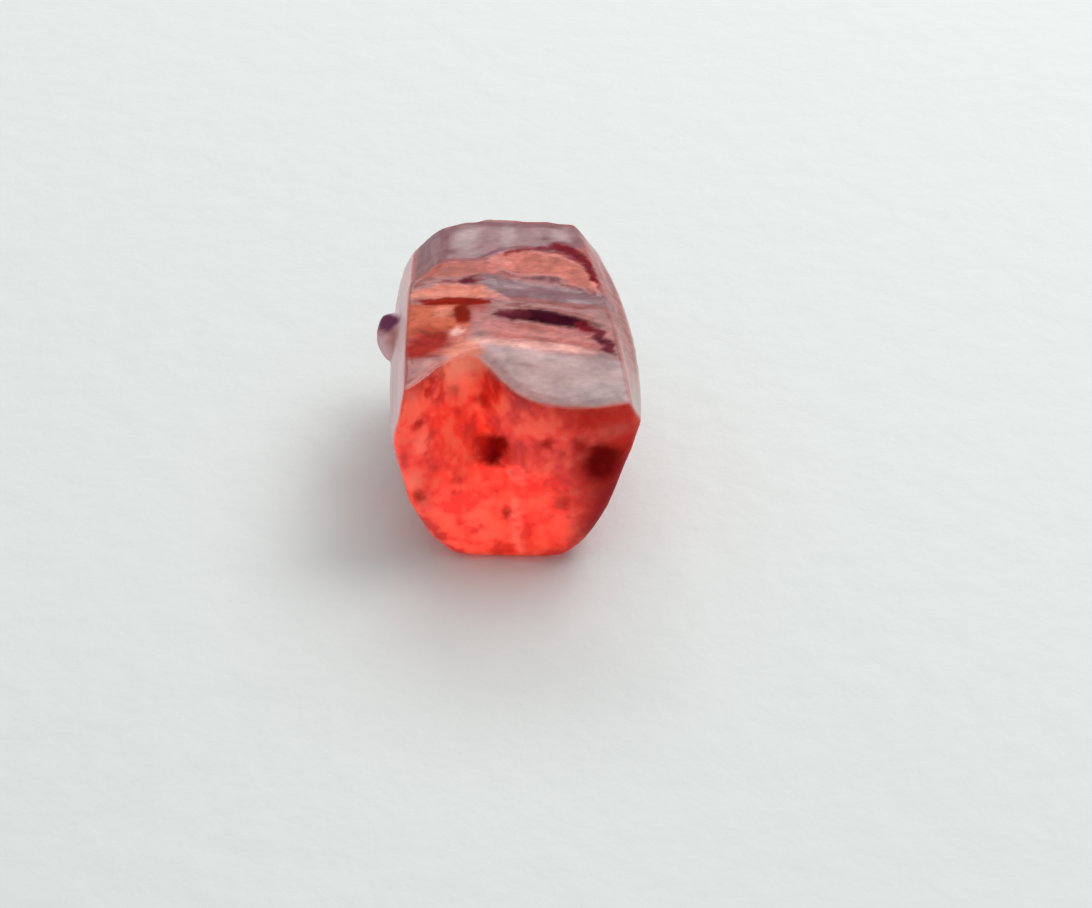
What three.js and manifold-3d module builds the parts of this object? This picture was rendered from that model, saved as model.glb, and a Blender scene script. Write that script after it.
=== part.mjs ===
// A short broken prism of pink-red tourmaline, lying on one of its prism faces.
// Millimetres, +Z up. The long axis of the crystal runs along Y, with the near break at -Y.
// The origin is on the surface that it rests on, under the middle of its outline. The dimensions
// below are from a point close by, and the finished crystal is moved onto the origin.
import * as THREE from 'three';
import { mergeVertices } from 'three/addons/utils/BufferGeometryUtils.js';
import Module from 'manifold-3d';

const wasm = await Module();
wasm.setup();

// Driving dimensions of the prism
const HALF_LENGTH = 5.8;
const STATION_COUNT = 15;
const TOP_HEIGHT = 7.2;
const GROOVE_DEPTH_SIDE = 0.055;
const GROOVE_DEPTH_TOP = 0.03;
const OVERSHOOT = 20;

// The long edges of the prism, anticlockwise seen from the near end. Each one is a shallow curve
// through three points, given as [x, z] at the near, middle and far end of the prism.
// strands is how many lengthwise strips the prism face after that edge has.
const LONG_EDGES = [
  { name: 'right foot', near: [2.0, 0], middle: [2.1, 0], far: [1.7, 0], strands: 3 },
  { name: 'right heel', near: [2.68, 0.72], middle: [2.8, 0.75], far: [2.3, 0.8], strands: 5 },
  { name: 'right flank', near: [3.38, 2.05], middle: [3.55, 2.1], far: [2.9, 2.2], strands: 7 },
  { name: 'right hollow', near: [3.98, 4.15], middle: [4.08, 4.3], far: [3.3, 4.4], strands: 2 },
  { name: 'right shoulder', near: [4.22, 4.62], middle: [4.2, 4.8], far: [3.38, 4.8], strands: 5 },
  { name: 'right bevel', near: [4.42, 6.0], middle: [4.24, 6.2], far: [2.6, 6.2], strands: 5 },
  { name: 'right crest', near: [4.12, 7.0], middle: [3.36, 7.12], far: [2.1, 7.14], strands: 12 },
  { name: 'ridge', near: [-0.8, 7.2], middle: [-0.8, 7.2], far: [-0.8, 7.2], strands: 2 },
  { name: 'groove', near: [-1.2, 7.14], middle: [-1.15, 7.15], far: [-1.05, 7.08], strands: 7 },
  { name: 'left crest', near: [-3.28, 7.04], middle: [-3.36, 7.08], far: [-3.3, 7.05], strands: 8 },
  { name: 'left flank', near: [-3.74, 4.8], middle: [-4.05, 4.95], far: [-3.85, 4.85], strands: 8 },
  { name: 'left low', near: [-3.28, 2.4], middle: [-3.52, 2.45], far: [-3.2, 2.5], strands: 6 },
  { name: 'left heel', near: [-2.6, 0.75], middle: [-2.75, 0.8], far: [-2.35, 0.8], strands: 3 },
  { name: 'left foot', near: [-1.85, 0], middle: [-2.0, 0], far: [-1.6, 0], strands: 1 },
];

// Flat breaks: a point on the break, and the direction that it faces. Those of one end melt into
// each other. The near end also has a shell that leans back towards the top, and the far end has a
// shallow hollow, whose middle and reach are in x and z.
const NEAR_BREAKS = [
  { name: 'main face', at: [0.3, -5.42, 3.5], facing: [-0.06, -1, -0.015] },
  { name: 'turned right', at: [2.7, -5.56, 4], facing: [0.26, -0.96, -0.03] },
  { name: 'foot', at: [0, -5.38, 0.25], facing: [0.02, -0.8, -0.6] },
  { name: 'left foot corner', at: [-2.45, -5.05, 0.6], facing: [-0.48, -0.8, -0.36] },
  { name: 'right foot corner', at: [2.5, -5.25, 0.7], facing: [0.5, -0.8, -0.3] },
];
const FAR_BREAKS = [
  { name: 'main face', at: [0, 4.9, 7.1], facing: [0.03, 1, -0.1] },
  { name: 'turned right', at: [2.6, 4.35, 3], facing: [0.55, 0.82, -0.12] },
  { name: 'turned left', at: [-3, 4.3, 2.6], facing: [-0.6, 0.76, -0.25] },
];
const NEAR_SHELL = { middle: -1.35, leftReach: 1.58, rightReach: 1.45, lowest: 2.9, depth: 2.5, power: 1.4 };
const FAR_HOLLOW = { middle: [0.5, 3.1], reach: [2.0, 1.7], depth: 0.6 };
const EDGE_SOFTNESS = 0.09;
const TOP_SLOPE = { at: [1.5, -3.1, 7.12], facing: [0.01, -0.08, 1] };

// The far left corner is broken off along two flats that meet in a step
const CORNER_STEP = [
  { name: 'long flat', at: [-2.3, 3.6, 7.15], facing: [-0.7, 0.02, 0.71] },
  { name: 'short flat', at: [-2.8, 1.75, 7.15], facing: [-0.62, 0.55, 0.56] },
];

// Shallow dips broken across the top. Each one falls from its far rim to its deepest line, and
// rises again to its near rim; all three are y at the middle of the dip. left and right are where
// it ends, and slant is how much nearer it lies for each millimetre to the right.
const TOP_DIPS = [
  { name: 'far right', far: 3.15, deep: 1.0, near: -0.35, left: -0.5, right: 3.4, slant: 0.3, depth: 0.3 },
  { name: 'near right', far: -0.5, deep: -1.75, near: -2.75, left: -0.6, right: 4.0, slant: 0.17, depth: 0.26 },
  { name: 'far left', far: 2.3, deep: 0.45, near: -0.1, left: -3.6, right: -0.7, slant: -0.1, depth: 0.22 },
  { name: 'near left', far: 0.0, deep: -2.35, near: -3.3, left: -3.7, right: -1.1, slant: -0.12, depth: 0.26 },
];
const DIP_END_SOFTNESS = 0.7;
const TOP_CLEARANCE = 0.03;

// The grids of the cuts that follow a formula
const NEAR_GRID = { columns: 52, rows: 48, from: [-6.5, -2], to: [6.5, 10] };
const FAR_GRID = { columns: 30, rows: 30, from: [-2, -6.5], to: [10, 6.5] };
const TOP_GRID = { columns: 44, rows: 68, from: [-5.5, -7], to: [5.5, 6.6] };

// The dark knob on the left side
const KNOB = { middle: [-3.92, 0.62, 5.15], radii: [0.7, 1.25, 0.84], turn: 8 };

/** Turns a closed three.js geometry into a solid that can be joined and cut. */
function toSolid(geometry) {
  const bare = geometry.clone();
  bare.deleteAttribute('normal');
  bare.deleteAttribute('uv');
  const merged = mergeVertices(bare, 1e-5);
  const mesh = new wasm.Mesh({
    numProp: 3,
    vertProperties: new Float32Array(merged.attributes.position.array),
    triVerts: new Uint32Array(merged.index.array),
  });
  return new wasm.Manifold(mesh);
}

/** Turns a solid back into a three.js geometry. */
function toGeometry(solid) {
  const mesh = solid.getMesh();
  const geometry = new THREE.BufferGeometry();
  geometry.setAttribute('position', new THREE.BufferAttribute(mesh.vertProperties, 3));
  geometry.setIndex(new THREE.BufferAttribute(mesh.triVerts, 1));
  geometry.computeVertexNormals();
  return geometry;
}

/** A curve's value at t from -1 to 1, through its near, middle and far values. */
function alongLength(near, middle, far, t) {
  return (near * t * (t - 1)) / 2 + middle * (1 - t * t) + (far * t * (t + 1)) / 2;
}

/** A repeatable number from 0 to 1 for each whole number. */
function scatter(index) {
  const wave = Math.sin(index * 12.9898 + 4.137) * 43758.5453;
  return wave - Math.floor(wave);
}

/** How deep the groove of one lengthwise strand is at t, as a share of the full depth. */
function grooveShare(strand, t) {
  const drift = Math.sin(t * (2 + 2 * scatter(strand + 40)) + 6.28 * scatter(strand + 80));
  return Math.max(0, scatter(strand) * 0.8 + 0.25 * drift);
}

/** The outline of the prism at t, as points in x and z. */
function sectionAt(t) {
  const corners = LONG_EDGES.map(({ near, middle, far }) => new THREE.Vector2(
    alongLength(near[0], middle[0], far[0], t),
    alongLength(near[1], middle[1], far[1], t),
  ));
  const outline = [];
  corners.forEach((corner, index) => {
    const next = corners[(index + 1) % corners.length];
    const along = next.clone().sub(corner);
    const inward = new THREE.Vector2(-along.y, along.x).normalize();
    const isTop = corner.y > 6.9 && next.y > 6.9;
    const depth = isTop ? GROOVE_DEPTH_TOP : GROOVE_DEPTH_SIDE;
    const { strands } = LONG_EDGES[index];
    for (let strand = 0; strand < strands; strand += 1) {
      const point = corner.clone().addScaledVector(along, strand / strands);
      if (strand > 0) {
        point.addScaledVector(inward, depth * grooveShare(index * 20 + strand, t));
      }
      outline.push(point);
    }
  });
  return outline;
}

/** The uncut prism: its outline lofted from end to end and closed with a fan at each end. */
function buildPrism() {
  const positions = [];
  const indices = [];
  const ringSize = sectionAt(0).length;
  for (let station = 0; station < STATION_COUNT; station += 1) {
    const t = -1 + (2 * station) / (STATION_COUNT - 1);
    sectionAt(t).forEach((point) => positions.push(point.x, t * HALF_LENGTH, point.y));
  }
  for (let station = 0; station < STATION_COUNT - 1; station += 1) {
    for (let side = 0; side < ringSize; side += 1) {
      const a = station * ringSize + side;
      const b = station * ringSize + ((side + 1) % ringSize);
      indices.push(a, b + ringSize, b, a, a + ringSize, b + ringSize);
    }
  }
  const nearHub = positions.length / 3;
  const middleHeight = TOP_HEIGHT / 2;
  positions.push(0, -HALF_LENGTH, middleHeight, 0, HALF_LENGTH, middleHeight);
  const lastRing = (STATION_COUNT - 1) * ringSize;
  for (let side = 0; side < ringSize; side += 1) {
    const next = (side + 1) % ringSize;
    indices.push(nearHub, side, next);
    indices.push(nearHub + 1, lastRing + next, lastRing + side);
  }
  const geometry = new THREE.BufferGeometry();
  geometry.setAttribute('position', new THREE.Float32BufferAttribute(positions, 3));
  geometry.setIndex(indices);
  return geometry;
}

/** Everything in front of a flat break, as a big block that can be cut away. */
function blockBeyond({ at, facing }) {
  const direction = new THREE.Vector3(...facing).normalize();
  const block = new THREE.BoxGeometry(2 * OVERSHOOT, 2 * OVERSHOOT, 2 * OVERSHOOT);
  block.translate(0, 0, OVERSHOOT);
  block.applyQuaternion(new THREE.Quaternion().setFromUnitVectors(new THREE.Vector3(0, 0, 1), direction));
  block.translate(...at);
  return toSolid(block);
}

/**
 * A block with one curved face, over a grid in u and v. surfaceAt(u, v) gives a point of that
 * face, and outerAt(u, v) the point of the flat face behind it, on the side where u cross v points.
 */
function curvedBlock({ columns, rows, from, to }, surfaceAt, outerAt) {
  const positions = [];
  const indices = [];
  const layer = (columns + 1) * (rows + 1);
  [surfaceAt, outerAt].forEach((pointAt) => {
    for (let row = 0; row <= rows; row += 1) {
      for (let column = 0; column <= columns; column += 1) {
        const u = THREE.MathUtils.lerp(from[0], to[0], column / columns);
        const v = THREE.MathUtils.lerp(from[1], to[1], row / rows);
        positions.push(...pointAt(u, v));
      }
    }
  });
  const at = (column, row) => row * (columns + 1) + column;
  for (let row = 0; row < rows; row += 1) {
    for (let column = 0; column < columns; column += 1) {
      const [a, b, c, d] = [at(column, row), at(column + 1, row), at(column + 1, row + 1), at(column, row + 1)];
      indices.push(a, c, b, a, d, c);
      indices.push(a + layer, b + layer, c + layer, a + layer, c + layer, d + layer);
    }
  }
  const rim = [];
  for (let column = 0; column < columns; column += 1) rim.push(at(column, 0));
  for (let row = 0; row < rows; row += 1) rim.push(at(columns, row));
  for (let column = columns; column > 0; column -= 1) rim.push(at(column, rows));
  for (let row = rows; row > 0; row -= 1) rim.push(at(0, row));
  rim.forEach((a, index) => {
    const b = rim[(index + 1) % rim.length];
    indices.push(a, b, b + layer, a, b + layer, a + layer);
  });
  const geometry = new THREE.BufferGeometry();
  geometry.setAttribute('position', new THREE.Float32BufferAttribute(positions, 3));
  geometry.setIndex(indices);
  return toSolid(geometry);
}

/** Where a flat break crosses the line along y at x and z. */
function breakAt({ at, facing }, x, z) {
  return at[1] - (facing[0] * (x - at[0]) + facing[2] * (z - at[2])) / facing[1];
}

/** The outermost of several numbers, with a soft change from one to the next. */
function softMaximum(values) {
  const top = Math.max(...values);
  const sum = values.reduce((total, value) => total + Math.exp((value - top) / EDGE_SOFTNESS), 0);
  return top + EDGE_SOFTNESS * Math.log(sum);
}

/** The near break at x and z: its flats, and the shell that leans back. */
function nearBreakAt(x, z) {
  const { middle, leftReach, rightReach, lowest, depth, power } = NEAR_SHELL;
  const across = (x - middle) / (x < middle ? leftReach : rightReach);
  const rise = Math.max(0, (z - lowest) / (TOP_HEIGHT - lowest));
  const flats = softMaximum(NEAR_BREAKS.map((flat) => breakAt(flat, x, z)));
  return flats + depth * Math.exp(-across * across) * rise ** power;
}

/** The far break at x and z: its flats and its hollow. */
function farBreakAt(x, z) {
  const { middle, reach, depth } = FAR_HOLLOW;
  const spread = ((x - middle[0]) / reach[0]) ** 2 + ((z - middle[1]) / reach[1]) ** 2;
  return -softMaximum(FAR_BREAKS.map((flat) => -breakAt(flat, x, z))) - depth * Math.exp(-spread);
}

/** How deep all dips together are at x and y. */
function dipAt(x, y) {
  let total = 0;
  TOP_DIPS.forEach(({ far, deep, near, left, right, slant, depth }) => {
    const own = y + slant * (x - (left + right) / 2);
    const share = own > deep ? (far - own) / (far - deep) : (own - near) / (deep - near);
    const ends = THREE.MathUtils.smoothstep(x, left, left + DIP_END_SOFTNESS)
      * (1 - THREE.MathUtils.smoothstep(x, right - DIP_END_SOFTNESS, right));
    total += depth * ends * Math.sin((Math.PI / 2) * THREE.MathUtils.clamp(share, 0, 1)) ** 1.5;
  });
  return total;
}

/** The knob: a small lump with flat faces, sunk half its width into the left side. */
function buildKnob() {
  const lump = new THREE.DodecahedronGeometry(1, 0);
  lump.scale(...KNOB.radii);
  lump.rotateZ(THREE.MathUtils.degToRad(KNOB.turn));
  lump.translate(...KNOB.middle);
  return toSolid(lump);
}

/** The whole crystal as one closed solid. */
function buildCrystal() {
  let crystal = toSolid(buildPrism()).add(buildKnob());
  const nearBreak = curvedBlock(NEAR_GRID, (x, z) => [x, nearBreakAt(x, z), z], (x, z) => [x, -OVERSHOOT, z]);
  const farBreak = curvedBlock(FAR_GRID, (z, x) => [x, farBreakAt(x, z), z], (z, x) => [x, OVERSHOOT, z]);
  const topHeightAt = (x, y) => TOP_HEIGHT + TOP_CLEARANCE - dipAt(x, y);
  const topCut = curvedBlock(TOP_GRID, (x, y) => [x, y, topHeightAt(x, y)], (x, y) => [x, y, OVERSHOOT]);
  const [longFlat, shortFlat] = CORNER_STEP.map(blockBeyond);
  const cornerCut = longFlat.intersect(shortFlat);
  [blockBeyond(TOP_SLOPE), nearBreak, farBreak, topCut, cornerCut].forEach((cut) => {
    crystal = crystal.subtract(cut);
  });
  return crystal;
}

/** Moves a shape so that the middle of its outline stands on the origin. */
function standOnOrigin(geometry) {
  geometry.computeBoundingBox();
  const { min, max } = geometry.boundingBox;
  return geometry.translate(-(min.x + max.x) / 2, -(min.y + max.y) / 2, -min.z);
}

const rubellite = new THREE.MeshStandardMaterial({
  name: 'rubellite', color: 0xd8382f, roughness: 0.12, metalness: 0,
});

const crystalMesh = new THREE.Mesh(standOnOrigin(toGeometry(buildCrystal())), rubellite);
crystalMesh.name = 'tourmaline_crystal';

const group = new THREE.Group();
group.add(crystalMesh);

export default group;
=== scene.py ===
"""The looks of a short broken prism of pink-red tourmaline, lying on pale paper.

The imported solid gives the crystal's shape and size. Its skin is made again here with a much finer
mesh, which carries the lengthwise grooves of the prism faces, the ripples of the breaks and the
colours of the marks. What shows inside, the healed cracks and dark grains, is made as its own pieces.
"""
from __future__ import annotations

import logging
import math
from dataclasses import dataclass
from enum import Enum
from typing import Any, Protocol

import bmesh
import bpy
import numpy as np
from mathutils import Matrix, Vector, noise
from mathutils.bvhtree import BVHTree


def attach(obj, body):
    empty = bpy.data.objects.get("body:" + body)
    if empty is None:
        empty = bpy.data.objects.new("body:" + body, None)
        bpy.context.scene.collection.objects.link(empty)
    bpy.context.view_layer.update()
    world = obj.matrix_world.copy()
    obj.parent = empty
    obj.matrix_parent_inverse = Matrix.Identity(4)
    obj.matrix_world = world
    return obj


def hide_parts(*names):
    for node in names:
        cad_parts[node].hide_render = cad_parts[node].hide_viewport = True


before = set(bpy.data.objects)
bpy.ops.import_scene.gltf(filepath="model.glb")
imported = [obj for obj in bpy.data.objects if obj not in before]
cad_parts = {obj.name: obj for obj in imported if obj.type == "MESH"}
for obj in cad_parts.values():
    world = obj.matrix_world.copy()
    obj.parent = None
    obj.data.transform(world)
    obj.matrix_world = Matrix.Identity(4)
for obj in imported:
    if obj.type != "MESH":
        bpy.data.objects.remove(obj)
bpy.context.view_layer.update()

MM = 0.001
CRYSTAL_NODE = "tourmaline_crystal"
BODY = "root"
BROKEN = "broken"
PAINTED = "painted"
MILKY = "milky"
# The attribute that holds the share of painted glow.
PAINTED_GLOW = "painted_glow"

log = logging.getLogger("crystal")

Point = tuple[float, float, float]
PlanPoint = tuple[float, float]
Colour = tuple[float, float, float]
Edges = tuple[np.ndarray, np.ndarray, np.ndarray]


class Wire:
    """A shader socket that can stand in a Python expression."""

    def __init__(self, bench: Bench, socket: bpy.types.NodeSocket) -> None:
        """Keeps the socket and the bench whose tree it is in."""
        self.bench = bench
        self.socket = socket

    def __add__(self, other: Wire | float) -> Wire:
        """Adds."""
        return self.bench.maths("ADD", self, other)

    def __sub__(self, other: Wire | float) -> Wire:
        """Takes away."""
        return self.bench.maths("SUBTRACT", self, other)

    def __rsub__(self, other: float) -> Wire:
        """Takes this from a number."""
        return self.bench.maths("SUBTRACT", other, self)

    def __mul__(self, other: Wire | float) -> Wire:
        """Multiplies."""
        return self.bench.maths("MULTIPLY", self, other)

    __radd__ = __add__
    __rmul__ = __mul__

    def above(self, low: float, high: float) -> Wire:
        """A mask that rises smoothly from 0 at low to 1 at high."""
        settings = {"interpolation_type": "SMOOTHSTEP"}
        values = {"Value": self, "From Min": low, "From Max": high}
        return self.bench.make("ShaderNodeMapRange", settings, values, "Result")


class Bench:
    """Where the nodes of one material are made and joined."""

    def __init__(self, name: str) -> None:
        """Starts a material with an empty node tree.

        Args:
            name: The material's name.
        """
        self.material = bpy.data.materials.new(name)
        self.material.use_nodes = True
        self.tree = self.material.node_tree
        self.tree.nodes.clear()

    def make(
        self, kind: str, settings: dict[str, Any], values: dict[str | int, Any], out: str | int = 0
    ) -> Wire:
        """Makes one node.

        Args:
            kind: The node's type.
            settings: Its own settings, such as a Math node's operation.
            values: What each input socket holds or is linked to.
            out: The output that is wanted.

        Returns:
            The output, ready for an expression.
        """
        node = self.tree.nodes.new(kind)
        for name, value in settings.items():
            setattr(node, name, value)
        for name, value in values.items():
            socket = node.inputs[name]
            if isinstance(value, Wire):
                self.tree.links.new(value.socket, socket)
            else:
                socket.default_value = value
        return Wire(self, node.outputs[out])

    def maths(self, operation: str, *values: Wire | float) -> Wire:
        """One step of arithmetic on numbers."""
        return self.make("ShaderNodeMath", {"operation": operation}, dict(enumerate(values)))

    def vectors(self, operation: str, first: Wire | Point, second: Wire | Point) -> Wire:
        """One step of arithmetic on vectors."""
        return self.make("ShaderNodeVectorMath", {"operation": operation}, {0: first, 1: second}, "Vector")

    def scaled(self, vector: Wire | Point, share: Wire | float) -> Wire:
        """A vector or a colour, made longer or brighter by a number."""
        values = {0: vector, "Scale": share}
        return self.make("ShaderNodeVectorMath", {"operation": "SCALE"}, values, "Vector")

    def place(self) -> Wire:
        """The place on the piece, in millimetres."""
        here = self.make("ShaderNodeTexCoord", {}, {}, "Object")
        return self.vectors("DIVIDE", here, (MM, MM, MM))

    def attribute(self, name: str, out: str = "Fac") -> Wire:
        """What the mesh carries at each corner, as a number or a colour."""
        return self.make("ShaderNodeAttribute", {"attribute_name": name}, {}, out)

    def clouds(
        self, at: Wire, size: float, detail: float = 2.0, stretch: Point = (1, 1, 1), warp: float = 0.0
    ) -> Wire:
        """Soft random clouds from 0 to 1.

        Args:
            at: The place, in millimetres.
            size: How wide a cloud is, in millimetres.
            detail: How many finer layers it has.
            stretch: How many times wider the clouds are along each axis.
            warp: How far the clouds are twisted.

        Returns:
            The clouds.
        """
        scaled = self.vectors("DIVIDE", at, tuple(size * s for s in stretch))
        values = {"Vector": scaled, "Scale": 1.0, "Detail": detail, "Distortion": warp}
        return self.make("ShaderNodeTexNoise", {}, values, "Fac")

    def blend(self, share: Wire | float, first: Wire | tuple, second: Wire | tuple) -> Wire:
        """Mixes two colours."""
        node = self.tree.nodes.new("ShaderNodeMix")
        node.data_type = "RGBA"
        for socket, value in ((node.inputs[0], share), (node.inputs[6], first), (node.inputs[7], second)):
            if isinstance(value, Wire):
                self.tree.links.new(value.socket, socket)
            else:
                socket.default_value = value if isinstance(value, float) else (*value[:3], 1.0)
        return Wire(self, node.outputs[2])

    def finish(self, surface: Wire, volume: Wire | None = None) -> bpy.types.Material:
        """Ends the material.

        Args:
            surface: The surface shader.
            volume: What fills the inside, if anything.

        Returns:
            The finished material.
        """
        out = self.tree.nodes.new("ShaderNodeOutputMaterial")
        self.tree.links.new(surface.socket, out.inputs["Surface"])
        if volume is not None:
            self.tree.links.new(volume.socket, out.inputs["Volume"])
        return self.material


@dataclass(frozen=True)
class Pigment:
    """A colour on or just under the surface, and how milky it is: how far it hides the clear crystal."""

    colour: Colour
    milky: float = 0.0


class Tone(Enum):
    """The colours that show on and in the crystal."""

    BODY = Pigment((0.88, 0.07, 0.035))
    CLEAR = Pigment((1.0, 0.31, 0.25))
    HAZE = Pigment((0.78, 0.08, 0.04), 0.5)
    # The next two: the pale and dark blotches of a break, brighter painted glow and painted shade.
    PAINTED_GLOW_TONE = Pigment((1.0, 0.36, 0.24))
    PAINTED_SHADE_TONE = Pigment((0.42, 0.006, 0.002))
    ROSY = Pigment((1.0, 0.28, 0.22), 0.1)
    FLAME = Pigment((0.92, 0.05, 0.006), 0.35)
    # A dark red, also used as painted shade on the near break.
    DARK_RED_AND_PAINTED_SHADE = Pigment((0.44, 0.012, 0.007), 0.95)
    MAROON = Pigment((0.22, 0.004, 0.012), 0.95)
    BLOOD = Pigment((0.30, 0.002, 0.001), 0.9)
    SPOT = Pigment((0.13, 0.0, 0.0), 1.0)
    DULL = Pigment((0.74, 0.10, 0.07), 0.3)
    WARM = Pigment((1.0, 0.40, 0.33), 0.3)
    ROSE = Pigment((0.44, 0.17, 0.16), 0.7)
    # The next three: painted reflections of the window and sky on the top.
    PAINTED_MAUVE_REFLECTION = Pigment((0.31, 0.18, 0.20), 0.7)
    PAINTED_STEEL_REFLECTION = Pigment((0.50, 0.40, 0.41), 0.7)
    PAINTED_SILVER_REFLECTION = Pigment((0.62, 0.43, 0.42), 0.55)
    PEACH = Pigment((0.90, 0.29, 0.20), 0.85)
    SALMON = Pigment((0.74, 0.25, 0.20), 0.85)
    TERRACOTTA = Pigment((0.50, 0.14, 0.11), 0.85)
    PINK = Pigment((0.62, 0.20, 0.18), 0.8)
    # Painted highlights on the top.
    PAINTED_HIGHLIGHT = Pigment((1.0, 0.52, 0.46), 0.9)
    ORANGE = Pigment((0.62, 0.13, 0.07), 0.95)
    RUST = Pigment((0.38, 0.025, 0.018), 1.0)
    BROWN = Pigment((0.26, 0.008, 0.001), 1.0)
    CRIMSON = Pigment((0.22, 0.012, 0.022), 1.0)
    PURPLE = Pigment((0.055, 0.003, 0.012), 1.0)
    PLUM = Pigment((0.13, 0.014, 0.028), 1.0)
    BLUSH = Pigment((0.62, 0.27, 0.24), 0.7)
    GRAPE = Pigment((0.14, 0.03, 0.08), 1.0)
    LILAC = Pigment((0.80, 0.48, 0.52), 1.0)
    # The next two: painted reflections on the side prism faces, seen at a grazing view.
    PAINTED_PALE_REFLECTION = Pigment((0.92, 0.74, 0.76), 0.8)
    PAINTED_GREY_REFLECTION = Pigment((0.58, 0.52, 0.50), 0.85)


def rise(values: np.ndarray, low: float | np.ndarray, high: float | np.ndarray) -> np.ndarray:
    """A share that rises smoothly from 0 at low to 1 at high.

    Args:
        values: The numbers to judge.
        low: Where the rise starts.
        high: Where it ends.

    Returns:
        One share for each number.
    """
    share = np.clip((values - low) / (high - low), 0, 1)
    return share * share * (3 - 2 * share)


class Mark(Protocol):
    """Anything that gives part of the surface a tone."""

    tone: Tone

    def share(self, places: np.ndarray) -> np.ndarray:
        """How far the mark covers each place."""


@dataclass(frozen=True)
class Stripe:
    """A band across the top, along a curve through three points in plan. Lengths are in millimetres."""

    name: str
    tone: Tone
    left: PlanPoint
    middle: PlanPoint
    right: PlanPoint
    half_width: float
    softness: float = 0.15
    strength: float = 1.0
    taper: float = 0.0
    lean: float = 0.0

    def middle_line(self, x: np.ndarray) -> np.ndarray:
        """Where the middle of the stripe is along the crystal, for places across it."""
        (x0, y0), (x1, y1), (x2, y2) = self.left, self.middle, self.right
        first = (y1 - y0) / (x1 - x0)
        second = ((y2 - y1) / (x2 - x1) - first) / (x2 - x0)
        return (x - x0) * ((x - x1) * second + first) + y0

    def share(self, places: np.ndarray) -> np.ndarray:
        """How far the stripe covers each place.

        Args:
            places: The places, in millimetres.

        Returns:
            One share for each place.
        """
        x, y = places[:, 0], places[:, 1]
        start, end, soft = self.left[0], self.right[0], self.softness
        along = np.clip((x - start) / (end - start), 0, 1)
        width = self.half_width * (1 - self.taper * (2 * along - 1) ** 2)
        across = 1 - rise(np.abs(y - self.middle_line(x)), width - soft, width + soft)
        ends = rise(x, start - soft, start + soft) * (1 - rise(x, end - soft, end + soft))
        return across * ends * self.strength

    def heights(self, places: np.ndarray) -> np.ndarray:
        """The relief of the stripe: a flat that leans towards the near end by its own angle.

        Args:
            places: The places, in millimetres.

        Returns:
            How far each place stands out, in millimetres.
        """
        x, y = places[:, 0], places[:, 1]
        away = y - self.middle_line(x)
        ends = rise(np.minimum(x - self.left[0], self.right[0] - x), -0.4, 0.4)
        share = np.clip((self.half_width + 0.12 - np.abs(away)) / 0.24, 0, 1)
        return math.tan(math.radians(self.lean)) * away * share * ends


@dataclass(frozen=True)
class Spot:
    """A soft round or long patch. Lengths are in millimetres."""

    name: str
    tone: Tone
    middle: Point
    reach: Point
    core: float = 0.3
    strength: float = 1.0

    def share(self, places: np.ndarray) -> np.ndarray:
        """How far the patch covers each place."""
        distance = np.linalg.norm((places - self.middle) / self.reach, axis=1)
        return (1 - rise(distance, self.core, 1.0)) * self.strength


@dataclass(frozen=True)
class Vein:
    """A straight mark that narrows towards both ends. Lengths are in millimetres."""

    name: str
    tone: Tone
    start: Point
    end: Point
    width: float
    softness: float = 0.08
    strength: float = 1.0

    def share(self, places: np.ndarray) -> np.ndarray:
        """How far the vein covers each place.

        Args:
            places: The places, in millimetres.

        Returns:
            One share for each place.
        """
        way = np.subtract(self.end, self.start)
        along = np.clip((places - self.start) @ way / (way @ way), 0, 1)
        distance = np.linalg.norm(places - self.start - along[:, None] * way, axis=1)
        half = self.width / 2 * (1 - (2 * along - 1) ** 4)
        return (1 - rise(distance, half - self.softness, half + self.softness)) * self.strength


@dataclass(frozen=True)
class SideStrip:
    """A prism face beside the top, with a painted reflection: the pale, silvery sheen it shows at a grazing
    view. Its crest is a curve, given as x at three places along y.
    """

    name: str
    tone: Tone
    side: int
    crest: tuple[float, float, float]
    lowest: float
    strength: float = 1.0
    along: tuple[float, float, float] = (-5.17, 0.63, 6.43)

    def share(self, places: np.ndarray) -> np.ndarray:
        """How far the strip covers each place: from its crest outwards, fading downwards.

        Args:
            places: The places, in millimetres.

        Returns:
            One share for each place.
        """
        (x0, x1, x2), (y0, y1, y2) = self.crest, self.along
        x, y, z = places.T
        first = (x1 - x0) / (y1 - y0)
        second = ((x2 - x1) / (y2 - y1) - first) / (y2 - y0)
        curve = (y - y0) * ((y - y1) * second + first) + x0
        outwards = rise((x - curve) * self.side, -0.02, 0.12)
        streaks = waves(places, (0.3, 6.0, 0.3), 3, 41.3)
        fade = rise(z + 0.5 * streaks, self.lowest - 2.2, self.lowest + 1.2) ** 2
        return outwards * fade * self.strength


# The far band, the grey band, the grey patches and the silver facet are painted reflections of the window and
# sky on the top.
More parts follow.
